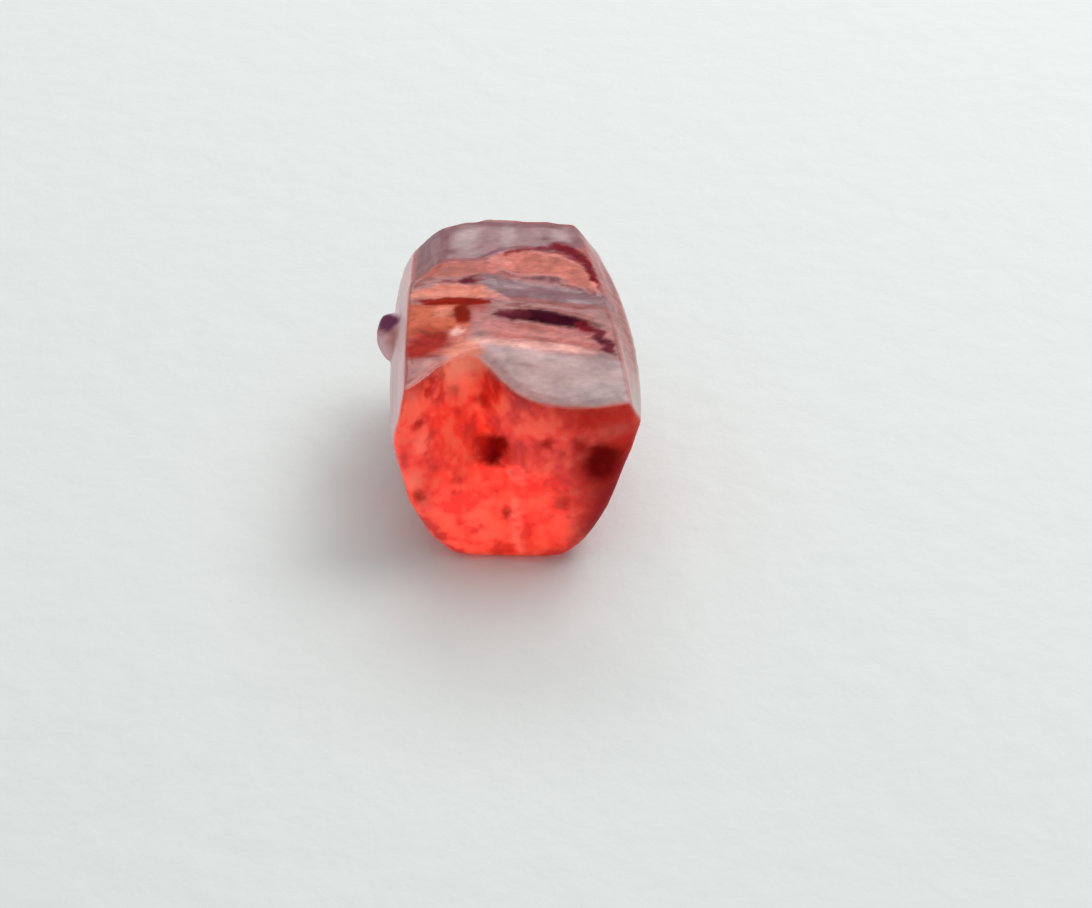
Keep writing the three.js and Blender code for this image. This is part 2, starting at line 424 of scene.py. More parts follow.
TOP_MARKS = (
    Stripe("ground", Tone.ROSE, (-4.5, 0.0), (0.0, 0.0), (4.6, 0.0), 9.0),
    Stripe("far band", Tone.PAINTED_MAUVE_REFLECTION, (-3.6, 3.9), (-0.3, 4.3), (2.7, 4.75), 1.3, 0.2),
    Spot("left far patch", Tone.PAINTED_STEEL_REFLECTION, (-1.4, 4.1, 7.0), (0.7, 1.4, 1.5), 0.3, 0.9),
    Spot("middle far patch", Tone.PAINTED_STEEL_REFLECTION, (0.0, 4.2, 7.0), (0.4, 1.1, 1.5), 0.2, 0.7),
    Spot("right far patch", Tone.PAINTED_STEEL_REFLECTION, (1.9, 4.2, 7.0), (0.6, 0.7, 1.5), 0.2, 0.6),
    Stripe("left band", Tone.TERRACOTTA, (-3.1, 2.1), (-1.8, 2.3), (-0.4, 2.25), 0.48, 0.15, 1.0, 0.4, 3),
    Stripe("right salmon", Tone.SALMON, (-0.7, 2.45), (1.4, 2.62), (3.35, 1.1), 0.62, 0.12, 1.0, 0.5, 4),
    Stripe("salmon's edge", Tone.PLUM, (0.4, 1.98), (1.36, 1.86), (2.5, 1.15), 0.07, 0.07, 0.7),
    Stripe("crimson thread", Tone.CRIMSON, (-0.1, 3.05), (1.1, 3.42), (2.2, 3.42), 0.1, 0.09, 0.9),
    Stripe("crimson edge", Tone.CRIMSON, (1.5, 3.5), (2.6, 2.75), (3.35, 1.2), 0.4, 0.2, 1.0, 0.4, 6),
    Stripe("grey band", Tone.PAINTED_MAUVE_REFLECTION, (-0.8, 1.3), (1.4, 0.95), (3.5, 0.2), 0.6, 0.15),
    Spot("sheen patch", Tone.PAINTED_STEEL_REFLECTION, (0.1, 1.35, 7.1), (0.9, 0.5, 1.0), 0.2, 0.7),
    Spot("right sheen patch", Tone.PAINTED_STEEL_REFLECTION, (2.5, 0.45, 7.1), (0.8, 0.35, 1.0), 0.2, 0.7),
    Stripe("left peach", Tone.PEACH, (-3.3, 0.75), (-1.9, 1.0), (-0.2, 0.62), 0.4, 0.16, 0.9, 0.7, 4),
    Vein("smudge line", Tone.CRIMSON, (-2.5, 1.5, 7.1), (-0.5, 1.6, 7.1), 0.16, 0.08, 0.8),
    Spot("smudge", Tone.PLUM, (-1.2, 1.6, 7.1), (0.5, 0.3, 0.8), 0.3),
    Stripe("rose band", Tone.ROSE, (-0.4, 0.15), (1.5, 0.1), (3.6, -0.35), 0.33, 0.12),
    Stripe("orange field", Tone.ORANGE, (-3.8, -0.6), (-2.6, -0.65), (-1.2, -0.6), 0.95, 0.15),
    Spot("peach patch", Tone.PEACH, (-2.2, -0.2, 7.1), (0.55, 0.5, 1.0), 0.2, 0.6),
    Spot("middle patch", Tone.PINK, (-0.9, -0.6, 7.1), (0.65, 0.9, 1.0), 0.3, 0.9),
    Spot("rusty patch", Tone.RUST, (-0.9, 0.0, 7.1), (0.6, 0.35, 1.0), 0.2, 0.6),
    Spot("rosy field", Tone.SALMON, (-1.8, -1.9, 7.0), (1.1, 1.0, 1.0), 0.4, 0.95),
    Stripe("brown line", Tone.BROWN, (-2.9, 0.33), (-1.6, 0.38), (-0.5, 0.2), 0.24, 0.08, 1.0, 0.6, 8),
    Spot("brown blotch", Tone.BROWN, (-1.5, -0.35, 7.1), (0.42, 0.8, 1.0), 0.45),
    Vein("rust zone", Tone.RUST, (-1.95, -1.2, 7.1), (-3.3, -2.7, 7.1), 1.45, 0.45),
    Stripe("pink band", Tone.PINK, (-0.7, -1.35), (1.4, -1.3), (3.5, -1.75), 0.45, 0.15, 1.0, 0.0, 3),
    # The pale row and the three highlights are painted highlights.
    Stripe("pale row", Tone.PAINTED_HIGHLIGHT, (-1.3, -1.95), (0.8, -2.1), (3.0, -2.4), 0.3, 0.2, 0.75, 0.5),
    Spot("first highlight", Tone.PAINTED_HIGHLIGHT, (-1.63, -1.25, 7.1), (0.36, 0.3, 1.0), 0.3),
    Spot("second highlight", Tone.PAINTED_HIGHLIGHT, (0.5, -2.15, 7.1), (0.5, 0.3, 1.0), 0.3),
    Spot("third highlight", Tone.PAINTED_HIGHLIGHT, (1.9, -2.25, 7.1), (0.55, 0.26, 1.0), 0.3, 0.8),
    Spot("column", Tone.PEACH, (-1.35, -2.75, 7.0), (0.85, 1.25, 1.5), 0.4),
    Stripe("silver facet", Tone.PAINTED_SILVER_REFLECTION, (-0.8, -3.2), (1.6, -3.75), (4.4, -4.2), 1.2, 0.16),
    Spot("facet's pale end", Tone.PAINTED_STEEL_REFLECTION, (2.9, -4.5, 6.6), (1.8, 0.9, 1.5), 0.2, 0.8),
    Spot("facet's dark corner", Tone.PAINTED_MAUVE_REFLECTION, (3.2, -2.9, 7.0), (0.9, 0.6, 1.5), 0.2, 0.8),
    Vein("pale bevel", Tone.BLUSH, (-2.3, -2.9, 7.1), (-3.2, -4.4, 7.0), 0.5, 0.12),
    Stripe("dark line", Tone.PURPLE, (0.1, -0.42), (1.5, -0.56), (2.9, -1.0), 0.34, 0.12, 1.0, 0.7, 14),
    Vein("dark line's start", Tone.PLUM, (-0.55, -0.32, 7.1), (1.0, -0.5, 7.1), 0.42, 0.1),
    Vein("crimson tail", Tone.CRIMSON, (2.3, -0.85, 7.1), (3.3, -1.6, 7.1), 0.46, 0.12),
    Vein("dark tail", Tone.PLUM, (2.9, -1.15, 7.1), (3.75, -2.6, 7.0), 0.46, 0.12),
)

NEAR_MARKS = (
    Spot("low haze", Tone.HAZE, (0.0, -5.0, 2.0), (5.0, 4.0, 3.4), 0.5, 0.9),
    Spot("flame field", Tone.FLAME, (-1.3, -4.3, 5.3), (2.3, 4.0, 1.7), 0.2, 0.75),
    Spot("rosy top", Tone.ROSY, (-2.0, -3.6, 6.6), (2.0, 4.0, 0.8), 0.2, 0.9),
    Spot("rosy low left", Tone.ROSY, (-1.6, -4.9, 1.7), (2.2, 4.0, 2.2), 0.3, 0.7),
    Spot("dull middle", Tone.DULL, (1.5, -5.0, 3.6), (1.4, 4.0, 3.4), 0.4, 0.7),
    Spot("dull top", Tone.DULL, (0.6, -4.8, 6.3), (1.3, 4.0, 0.9), 0.3, 0.8),
    # Painted shade: the near break darker to its right and top right.
    Spot("right shade", Tone.DARK_RED_AND_PAINTED_SHADE, (4.4, -5.2, 4.0), (2.6, 4.0, 4.4), 0.2),
    Spot("top right shade", Tone.DARK_RED_AND_PAINTED_SHADE, (2.9, -5.2, 6.6), (2.4, 4.0, 1.4), 0.1, 0.9),
    Vein("maroon edge", Tone.MAROON, (4.3, -4.9, 4.8), (2.7, -4.9, 0.4), 1.5, 0.6, 0.9),
    Spot("mauve corner", Tone.ROSE, (3.7, -5.0, 5.95), (1.0, 4.0, 0.5), 0.1, 0.3),
    Vein("seam", Tone.DARK_RED_AND_PAINTED_SHADE, (0.1, -4.8, 5.5), (0.2, -5.1, 1.2), 0.16, 0.14, 0.5),
    Vein("pale streak", Tone.WARM, (0.28, -5.0, 3.2), (0.42, -5.1, 0.2), 0.34, 0.2, 0.8),
    Spot("big spot's halo", Tone.DARK_RED_AND_PAINTED_SHADE, (-0.4, -4.6, 4.65), (1.0, 3.0, 0.9), 0.2, 0.8),
    Spot("big spot", Tone.SPOT, (-0.36, -4.6, 4.6), (0.6, 3.0, 0.62), 0.4),
    Spot("big spot's upper lobe", Tone.SPOT, (-0.1, -4.6, 4.95), (0.45, 3.0, 0.42), 0.3, 0.95),
    Spot("big spot's tail", Tone.BLOOD, (-0.8, -4.6, 4.6), (0.6, 3.0, 0.6), 0.2, 0.8),
    Spot("right spot's halo", Tone.BLOOD, (3.1, -5.1, 4.3), (1.3, 3.0, 1.7), 0.2, 0.85),
    Spot("right spot", Tone.SPOT, (3.25, -5.1, 4.6), (0.85, 3.0, 1.1), 0.35),
    Spot("left dot", Tone.BLOOD, (-2.76, -4.4, 5.63), (0.45, 3.0, 0.45), 0.1, 0.85),
    Spot("middle dot", Tone.BLOOD, (-0.69, -3.8, 6.0), (0.45, 3.0, 0.4), 0.1, 0.8),
    Spot("upper left dot", Tone.BLOOD, (-1.7, -3.3, 6.3), (0.55, 3.0, 0.35), 0.1, 0.7),
    Spot("upper right dot", Tone.BLOOD, (1.33, -5.1, 5.43), (0.4, 3.0, 0.4), 0.2, 0.9),
    Spot("second right dot", Tone.BLOOD, (2.54, -5.2, 5.28), (0.6, 3.0, 0.7), 0.2, 0.9),
    Spot("lower left dot", Tone.BLOOD, (-2.93, -4.9, 2.86), (0.5, 3.0, 0.5), 0.1, 0.8),
    Spot("low dot", Tone.BLOOD, (0.0, -5.1, 2.25), (0.26, 3.0, 0.6), 0.1, 0.8),
    Spot("low right dot", Tone.BLOOD, (1.93, -5.2, 2.89), (0.6, 3.0, 0.7), 0.1, 0.7),
    Spot("pale middle patch", Tone.WARM, (0.43, -5.0, 4.0), (0.5, 3.0, 0.6), 0.2, 0.9),
    Spot("pale left patch", Tone.WARM, (-2.8, -4.6, 4.9), (0.55, 3.0, 0.65), 0.2, 0.8),
    Spot("lower pale left patch", Tone.WARM, (-3.1, -4.9, 3.5), (0.4, 3.0, 0.6), 0.2, 0.8),
    Spot("peak's blush", Tone.PEACH, (-1.4, -3.0, 6.95), (1.3, 2.5, 0.6), 0.2, 0.95),
)

SIDE_MARKS = (
    Spot("clear sides", Tone.CLEAR, (0.0, 0.0, 4.0), (60.0, 60.0, 60.0), 0.9),
    # The two strips are painted reflections, on top of the glass's own reflection.
    SideStrip("right strip", Tone.PAINTED_GREY_REFLECTION, 1, (4.15, 3.39, 2.13), 4.8, 0.95),
    SideStrip("left strip", Tone.PAINTED_PALE_REFLECTION, -1, (-3.25, -3.33, -3.27), 4.5, 0.95),
)

KNOB_MARKS = (
    Spot("knob's ground", Tone.BLUSH, (-4.25, 0.5, 5.4), (1.0, 1.2, 1.0), 0.5, 0.9),
    Spot("knob's pale side", Tone.LILAC, (-4.35, 0.2, 5.1), (0.75, 0.9, 0.75), 0.4),
    Spot("knob's dark side", Tone.GRAPE, (-4.2, 0.95, 5.8), (0.65, 0.85, 0.55), 0.4),
)


def waves(places: np.ndarray, scale: Point, octaves: int, seed: float) -> np.ndarray:
    """Smooth random heights from about -1 to 1.

    Args:
        places: Where the heights are wanted, in millimetres.
        scale: How long a wave is along each axis.
        octaves: How many layers, each twice as fine, the waves have.
        seed: What sets these waves apart from others.

    Returns:
        One height for each place.
    """
    scaled = places / np.array(scale) + seed
    heights = (noise.fractal(Vector(place), 0.9, 2.0, octaves) for place in scaled)
    return np.fromiter(heights, float, len(places))


def shaken(places: np.ndarray, size: Point, reach: float) -> np.ndarray:
    """The places moved about at random, which makes straight edges ragged.

    Args:
        places: The places, in millimetres.
        size: How long the waves are along each axis, in millimetres.
        reach: How far a place is moved, in millimetres.

    Returns:
        The moved places.
    """
    pushes = [waves(places, size, 4, seed) for seed in (31.7, 57.1, 83.9)]
    return places + reach * np.stack(pushes, axis=1)


class Paintwork:
    """The colours of the skin, built up layer by layer. Lengths are in millimetres."""

    blotches: Point = (0.9, 1.2, 1.1)
    flecks: Point = (0.3, 0.5, 0.36)
    fleck_share: float = 0.7
    glow_blotch_share: float = 0.66
    shade_blotch_share: float = 0.9
    hidden_by_milk: float = 0.8
    patches: Point = (0.8, 0.45, 0.8)
    patch_grain: Point = (0.25, 0.2, 0.25)
    grain_share: float = 0.6
    patch_shade: float = 0.28

    def __init__(self, count: int) -> None:
        """Starts with the bare crystal.

        Args:
            count: How many corners the skin has.
        """
        self.colour = np.tile(Tone.BODY.value.colour, (count, 1))
        self.milky = np.zeros(count)

    def lay(self, tone: Tone, share: np.ndarray) -> None:
        """Lays one tone over what is there.

        Args:
            tone: The tone.
            share: How far it covers each corner.
        """
        pigment = tone.value
        self.colour += share[:, None] * (np.array(pigment.colour) - self.colour)
        self.milky += share * (pigment.milky - self.milky)

    def lay_marks(self, marks: tuple[Mark, ...], places: np.ndarray, where: np.ndarray) -> None:
        """Lays marks one over another.

        Args:
            marks: The marks, lowest first.
            places: Where each corner is judged to be, in millimetres.
            where: How far each corner takes them.
        """
        for mark in marks:
            self.lay(mark.tone, mark.share(places) * where)

    def mottle(self, places: np.ndarray, where: np.ndarray) -> None:
        """Adds random pale and dark blotches to a break: brighter painted glow and painted shade, where
        cracks deep inside throw out more or less light.

        Args:
            places: The corners, in millimetres.
            where: How far each corner takes them.
        """
        depth = waves(places, self.blotches, 4, 3.1) + self.fleck_share * waves(places, self.flecks, 3, 9.7)
        bare = (1 - self.hidden_by_milk * self.milky) * where
        pale = self.glow_blotch_share * rise(depth, 0.0, 0.55) * bare * (1 - self.milky)
        dark = self.shade_blotch_share * rise(-depth, 0.0, 0.55) * bare
        # Pale blotches are brighter painted glow, dark ones painted shade.
        self.colour += pale[:, None] * (Tone.PAINTED_GLOW_TONE.value.colour - self.colour)
        self.colour += dark[:, None] * (Tone.PAINTED_SHADE_TONE.value.colour - self.colour)

    def cloud(self, places: np.ndarray, where: np.ndarray) -> None:
        """Makes a surface lighter and darker in soft patches.

        Args:
            places: The corners, in millimetres.
            where: How far each corner takes them.
        """
        grain = self.grain_share * waves(places, self.patch_grain, 3, 61.9)
        shade = waves(places, self.patches, 4, 23.3) + grain
        self.colour *= (1 + self.patch_shade * shade * where)[:, None]

    def keep_on(self, mesh: bpy.types.Mesh, layered: np.ndarray) -> None:
        """Puts the colours on the mesh, and how milky it is.

        Args:
            mesh: The skin's mesh.
            layered: How far each corner shows fine layers, which goes into the colours' alpha.
        """
        colours = np.column_stack((self.colour, layered)).astype(np.float32)
        mesh.attributes.new(PAINTED, "FLOAT_COLOR", "POINT").data.foreach_set("color", colours.ravel())
        carry(mesh, MILKY, self.milky)


def carry(mesh: bpy.types.Mesh, name: str, values: np.ndarray) -> None:
    """Puts one number on each of a mesh's corners."""
    mesh.attributes.new(name, "FLOAT", "POINT").data.foreach_set("value", values.astype(np.float32))


@dataclass(frozen=True)
class RubelliteFinish:
    """Clear pink-red tourmaline."""

    ior: float = 1.63
    clearness: float = 0.94
    tint: Colour = (0.985, 0.16, 0.10)
    tint_depth: float = 400.0
    gloss: float = 0.10
    break_haze: float = 0.26
    # Painted glow: the strength and tint of the near break's emission.
    painted_glow_strength: float = 0.48
    painted_glow_tint: Colour = (1.0, 0.42, 0.23)
    strata_size: float = 0.2
    strata_stretch: Point = (3, 1, 1)
    grain_size: float = 0.14
    grain_depth: float = 0.014

    def make(self) -> bpy.types.Material:
        """Builds the material."""
        bench = Bench("rubellite")
        at = bench.place()
        colour = self.colour(bench, at)
        shared = {
            "Base Color": colour,
            "Normal": self.relief(bench, at),
            # The emission paints a glow on the near break, which is no lamp.
            "Emission Color": self.glow(bench, colour),
            "Emission Strength": self.painted_glow_strength,
        }
        haze = self.gloss + self.break_haze * bench.attribute(BROKEN)
        clear = {"Roughness": haze, "IOR": self.ior, "Transmission Weight": self.clearness}
        milky = {"Roughness": 0.45, "Specular IOR Level": 0.03}
        glass = bench.make("ShaderNodeBsdfPrincipled", {}, {**shared, **clear})
        milk = bench.make("ShaderNodeBsdfPrincipled", {}, {**shared, **milky})
        surface = bench.make("ShaderNodeMixShader", {}, {0: bench.attribute(MILKY), 1: glass, 2: milk})
        absorbed = {"Color": (*self.tint, 1.0), "Density": self.tint_depth}
        return bench.finish(surface, bench.make("ShaderNodeVolumeAbsorption", {}, absorbed))

    def colour(self, bench: Bench, at: Wire) -> Wire:
        """The colour of the surface and of what lies just under it.

        Args:
            bench: Where the nodes are made.
            at: The place, in millimetres.

        Returns:
            The colour.
        """
        strata = bench.clouds(at, self.strata_size, 4.0, stretch=self.strata_stretch, warp=1.2)
        layers = 1.0 + (strata - 0.5) * (0.25 + bench.attribute(PAINTED, "Alpha") * 0.55)
        return bench.scaled(bench.attribute(PAINTED, "Color"), layers)

    def glow(self, bench: Bench, colour: Wire) -> Wire:
        """The painted glow of the near break: emission that stands in for the light which the cracks inside
        throw out through it.

        Args:
            bench: Where the nodes are made.
            colour: The surface's colour.

        Returns:
            The painted glow's colour.
        """
        painted_glow = bench.vectors("MULTIPLY", colour, self.painted_glow_tint)
        return bench.scaled(painted_glow, bench.attribute(PAINTED_GLOW))

    def relief(self, bench: Bench, at: Wire) -> Wire:
        """The finest grains, as a bent normal."""
        grains = bench.clouds(at, self.grain_size, 2.0)
        height = grains * (0.3 + bench.attribute(BROKEN))
        values = {"Height": height, "Strength": 0.5, "Distance": self.grain_depth * MM}
        return bench.make("ShaderNodeBump", {}, values)


@dataclass(frozen=True)
class VeilFinish:
    """The pale flakes of a healed crack, which catch the light from both sides."""

    pale: Colour = (1.0, 0.62, 0.52)
    through: float = 0.5

    def make(self) -> bpy.types.Material:
        """Builds the material."""
        bench = Bench("healed crack")
        pale = (*self.pale, 1.0)
        facing = bench.make("ShaderNodeBsdfPrincipled", {}, {"Base Color": pale, "Roughness": 0.4})
        behind = bench.make("ShaderNodeBsdfTranslucent", {}, {"Color": pale})
        return bench.finish(bench.make("ShaderNodeMixShader", {}, {0: self.through, 1: facing, 2: behind}))


@dataclass(frozen=True)
class SpeckFinish:
    """A dark mineral grain."""

    colour: Colour = (0.03, 0.004, 0.004)

    def make(self) -> bpy.types.Material:
        """Builds the material."""
        bench = Bench("dark grain")
        patches = bench.clouds(bench.place(), 0.1, 2.0)
        colour = bench.blend(patches.above(0.4, 0.7), self.colour, Tone.BLOOD.value.colour)
        shader = bench.make("ShaderNodeBsdfPrincipled", {}, {"Base Color": colour, "Roughness": 0.5})
        return bench.finish(shader)


@dataclass(frozen=True)
class PaperFinish:
    """Matt white paper with a faint tooth."""

    colour: Colour = (0.80, 0.83, 0.82)

    def make(self) -> bpy.types.Material:
        """Builds the material."""
        bench = Bench("paper")
        tooth = bench.clouds(bench.place(), 1.6, 4.0)
        values = {"Height": tooth, "Strength": 0.35, "Distance": 0.25 * MM}
        bump = bench.make("ShaderNodeBump", {}, values)
        shader = bench.make(
            "ShaderNodeBsdfPrincipled",
            {},
            {"Base Color": (*self.colour, 1.0), "Roughness": 0.85, "Specular IOR Level": 0.2, "Normal": bump},
        )
        return bench.finish(shader)


def new_object(name: str, mesh: bpy.types.Mesh) -> bpy.types.Object:
    """Puts a mesh into the scene at the origin."""
    thing = bpy.data.objects.new(name, mesh)
    bpy.context.scene.collection.objects.link(thing)
    return thing


def as_plain_mesh(thing: bpy.types.Object) -> bpy.types.Mesh:
    """The mesh that an object's modifiers end in."""
    graph = bpy.context.evaluated_depsgraph_get()
    graph.update()
    return bpy.data.meshes.new_from_object(thing.evaluated_get(graph))


def walls_of(thing: bpy.types.Object) -> BVHTree:
    """A piece's surface, in millimetres, for finding where it is."""
    corners = [corner.co / MM for corner in thing.data.vertices]
    return BVHTree.FromPolygons(corners, [tuple(face.vertices) for face in thing.data.polygons])


@dataclass
class CrystalSkin:
    """The crystal's outer surface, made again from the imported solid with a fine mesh.

    Lengths are in millimetres.
    """

    cell: float = 0.067
    smoothing_rounds: int = 14
    crease_start: float = 0.12
    crease_full: float = 0.45
    worn_rounds: int = 130
    edge_wear: float = 0.06
    groove_depth: float = 0.013
    groove_pitch: float = 0.26
    ripple_depth: float = 0.03
    ripple_length: float = 1.1
    break_from: float = 0.2
    break_full: float = 0.45
    top_from: float = 6.0
    top_full: float = 6.4
    top_normal: float = 0.9
    top_rounds: int = 40
    top_waves: float = 0.010
    near_break: tuple[float, float] = (-2.6, -1.9)
    far_break: tuple[float, float] = (4.3, 4.8)
    ragged_size: Point = (1.3, 0.5, 0.8)
    ragged_reach: float = 0.15
    frayed_size: Point = (0.26, 0.16, 0.2)
    frayed_reach: float = 0.07
    foot: float = 0.4
    upward: tuple[float, float] = (0.45, 0.75)
    layers_start: tuple[float, float] = (-3.0, -2.2)
    layers_end: tuple[float, float] = (2.8, 3.6)
    # How far the painted glow of the near break is dimmed to the right, low down and at its peak.
    right_dimming: float = 0.5
    low_dimming: float = 0.2
    peak_dimming: float = 0.5
    right_kept: float = 0.75

    def build(self, finish: RubelliteFinish) -> bpy.types.Object:
        """Makes the skin and dresses it.

        Args:
            finish: The crystal's finish.

        Returns:
            The finished piece.
        """
        mesh = self.remeshed()
        places = self.read(mesh, "vertices", "co")
        places = self.smoothed(mesh, places, self.freedom(mesh), self.smoothing_rounds)
        places = self.smoothed(mesh, places, self.worn(places), self.worn_rounds)
        self.write(mesh, places)
        normals = self.read(mesh, "vertices", "normal")
        at_end = 1 - rise(places[:, 1], -2.6, -2.2) + rise(places[:, 1], *self.far_break)
        broken = self.spread(mesh, at_end * rise(np.abs(normals[:, 1]), self.break_from, self.break_full), 7)
        flat = self.spread(mesh, (normals[:, 2] > self.top_normal).astype(float), 6)
        flat = np.clip(2 * flat - 1, 0, 1)
        ragged = shaken(places, self.ragged_size, self.ragged_reach)
        self.paint(mesh, places, ragged, broken)
        places[:, 2] += flat * (self.spread(mesh, places[:, 2], self.top_rounds) - places[:, 2])
        places[:, 2] += flat * self.top_relief(places, ragged)
        self.write(mesh, places)
        normals = self.read(mesh, "vertices", "normal")
        smooth = np.clip(broken + flat, 0, 1)
        places = places + normals * self.relief(places, broken, smooth)[:, None]
        places[:, 2] = np.maximum(places[:, 2], 0.0)
        self.write(mesh, places * MM)
        mesh.polygons.foreach_set("use_smooth", [True] * len(mesh.polygons))
        mesh.materials.clear()
        mesh.materials.append(finish.make())
        return new_object("crystal", mesh)

    def remeshed(self) -> bpy.types.Mesh:
        """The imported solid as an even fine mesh.

        Returns:
            The mesh, in millimetres.
        """
        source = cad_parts[CRYSTAL_NODE].data.copy()
        source.transform(Matrix.Scale(1 / MM, 4))
        shape = bmesh.new()
        shape.from_mesh(source)
        bmesh.ops.remove_doubles(shape, verts=shape.verts, dist=1e-4)
        shape.to_mesh(source)
        shape.free()
        helper = new_object("helper", source)
        change = helper.modifiers.new("even cells", "REMESH")
        change.mode = "VOXEL"
        change.voxel_size = self.cell
        mesh = as_plain_mesh(helper)
        bpy.data.objects.remove(helper)
        return mesh

    def paint(self, mesh: bpy.types.Mesh, places: np.ndarray, ragged: np.ndarray, broken: np.ndarray) -> None:
        """Puts the marks, how far each corner is broken and how much painted glow it carries, on the mesh.

        Args:
            mesh: The skin's mesh.
            places: Its corners, in millimetres.
            ragged: The corners, shaken about.
            broken: How much of each corner is a break rather than a prism face.
        """
        y, z = places[:, 1], places[:, 2]
        near = 1 - rise(y, *self.near_break)
        upward = self.spread(mesh, rise(self.read(mesh, "vertices", "normal")[:, 2], *self.upward), 4)
        top = rise(z, self.top_from, self.top_full) * (1 - broken) * upward
        frayed = shaken(ragged, self.frayed_size, self.frayed_reach)
        paintwork = Paintwork(len(places))
        paintwork.lay_marks(SIDE_MARKS, places, 1 - broken)
        paintwork.lay_marks(TOP_MARKS, frayed, top)
        paintwork.lay_marks(NEAR_MARKS, frayed, broken * near)
        paintwork.lay_marks(KNOB_MARKS, ragged, np.ones(len(places)))
        paintwork.mottle(places, broken)
        paintwork.cloud(places, top)
        paintwork.keep_on(mesh, top * rise(y, *self.layers_start) * (1 - rise(y, *self.layers_end)))
        carry(mesh, BROKEN, broken)
        # The share of painted glow: only on the near break.
        carry(mesh, PAINTED_GLOW, broken * near * self.glow(places))

    def glow(self, places: np.ndarray) -> np.ndarray:
        """How strongly the near break's painted glow shows: less to the right, low down and at its peak."""
        x, _, z = places.T
        right = self.right_dimming * rise(x, 0.6, 2.8)
        low = self.low_dimming * (1 - rise(z, 3.0, 6.0))
        peak = self.peak_dimming * rise(z, 6.3, 6.9)
        return (1 - right) * (1 - low) * (1 - peak)

    def top_relief(self, places: np.ndarray, ragged: np.ndarray) -> np.ndarray:
        """The flats and waves of the chipped top, as heights in millimetres."""
        flats = sum(mark.heights(ragged) for mark in TOP_MARKS if isinstance(mark, Stripe) and mark.lean)
        return flats + self.top_waves * waves(places, (2.2, 1.0, 1.0), 2, 2.9)

    def relief(self, places: np.ndarray, broken: np.ndarray, smooth: np.ndarray) -> np.ndarray:
        """How far each place of the skin stands out.

        Args:
            places: The places, in millimetres.
            broken: How much of each place is a break rather than a prism face.
            smooth: How far each place is free of the prism faces' grooves.

        Returns:
            The heights, in millimetres.
        """
        pitch = self.groove_pitch
        grooves = waves(places, (pitch, 30 * pitch, pitch), 3, 5.3)
        ripples = waves(places, (self.ripple_length,) * 3, 4, 17.9)
        rises = np.clip(places[:, 2] / self.foot, 0, 1)
        return rises * (self.groove_depth * grooves * (1 - smooth) + self.ripple_depth * ripples * broken)

    @staticmethod
    def read(mesh: bpy.types.Mesh, kind: str, name: str) -> np.ndarray:
        """Three numbers for each of the mesh's corners."""
        items = getattr(mesh, kind)
        flat = np.empty(len(items) * 3)
        items.foreach_get(name, flat)
        return flat.reshape(-1, 3)

    @staticmethod
    def write(mesh: bpy.types.Mesh, places: np.ndarray) -> None:
        """Moves the mesh's corners."""
        mesh.vertices.foreach_set("co", places.ravel())
        mesh.update()

    @staticmethod
    def edges(mesh: bpy.types.Mesh) -> Edges:
        """The two ends of each edge, and how many edges meet at each corner."""
        pairs = np.empty(len(mesh.edges) * 2, dtype=np.int64)
        mesh.edges.foreach_get("vertices", pairs)
        start, end = pairs.reshape(-1, 2).T
        return start, end, np.bincount(pairs, minlength=len(mesh.vertices))

    @staticmethod
    def around(edges: Edges, values: np.ndarray) -> np.ndarray:
        """The mean of a number over each corner's neighbours."""
        start, end, count = edges
        size = len(values)
        return (np.bincount(start, values[end], size) + np.bincount(end, values[start], size)) / count

    def spread(self, mesh: bpy.types.Mesh, values: np.ndarray, rounds: int) -> np.ndarray:
        """Softens a number that each corner has, over its neighbours.

        Args:
            mesh: The mesh whose edges join the corners.
            values: The numbers.
            rounds: How many times each is mixed with its neighbours'.

        Returns:
            The softer numbers.
        """
        edges = self.edges(mesh)
        for _ in range(rounds):
            values = 0.5 * values + 0.5 * self.around(edges, values)
        return values

    def freedom(self, mesh: bpy.types.Mesh) -> np.ndarray:
        """How far each corner may move while the facets are evened out: not at all on a real edge.

        Args:
            mesh: The skin's mesh.

        Returns:
            One share for each corner.
        """
        start, end, _ = self.edges(mesh)
        normals = self.read(mesh, "vertices", "normal")
        bend = 1.0 - np.sum(normals[start] * normals[end], axis=1)
        crease = np.zeros(len(normals))
        np.maximum.at(crease, start, bend)
        np.maximum.at(crease, end, bend)
        return np.clip((self.crease_full - crease) / (self.crease_full - self.crease_start), 0, 1)

    def worn(self, places: np.ndarray) -> np.ndarray:
        """How far the edges are rounded at each place.

        Args:
            places: The places, in millimetres.

        Returns:
            One share for each: most at the far corners, the left above all, and low on the near end.
        """
        x, y, z = places.T
        corners = rise(np.abs(x), 1.4, 2.2) * rise(z, 2.5, 4.5) * (1 - self.right_kept * rise(x, 0.0, 1.0))
        near = (1 - rise(y, -4.6, -3.2)) * (1 - rise(z, 5.0, 6.0))
        return np.clip(rise(y, 3.0, 4.0) * corners + near + self.edge_wear, 0, 1)

    def smoothed(
        self, mesh: bpy.types.Mesh, places: np.ndarray, freedom: np.ndarray, rounds: int
    ) -> np.ndarray:
        """Evens out a surface.

        Args:
            mesh: The mesh whose edges join the places.
            places: The places to even out.
            freedom: How far each may move, from 0 to 1.
            rounds: How many times each moves towards its neighbours.

        Returns:
            The smoother places.
        """
        edges = self.edges(mesh)
        for _ in range(rounds):
            middle = np.stack([self.around(edges, axis) for axis in places.T], axis=1)
            places = places + 0.5 * freedom[:, None] * (middle - places)
        return places


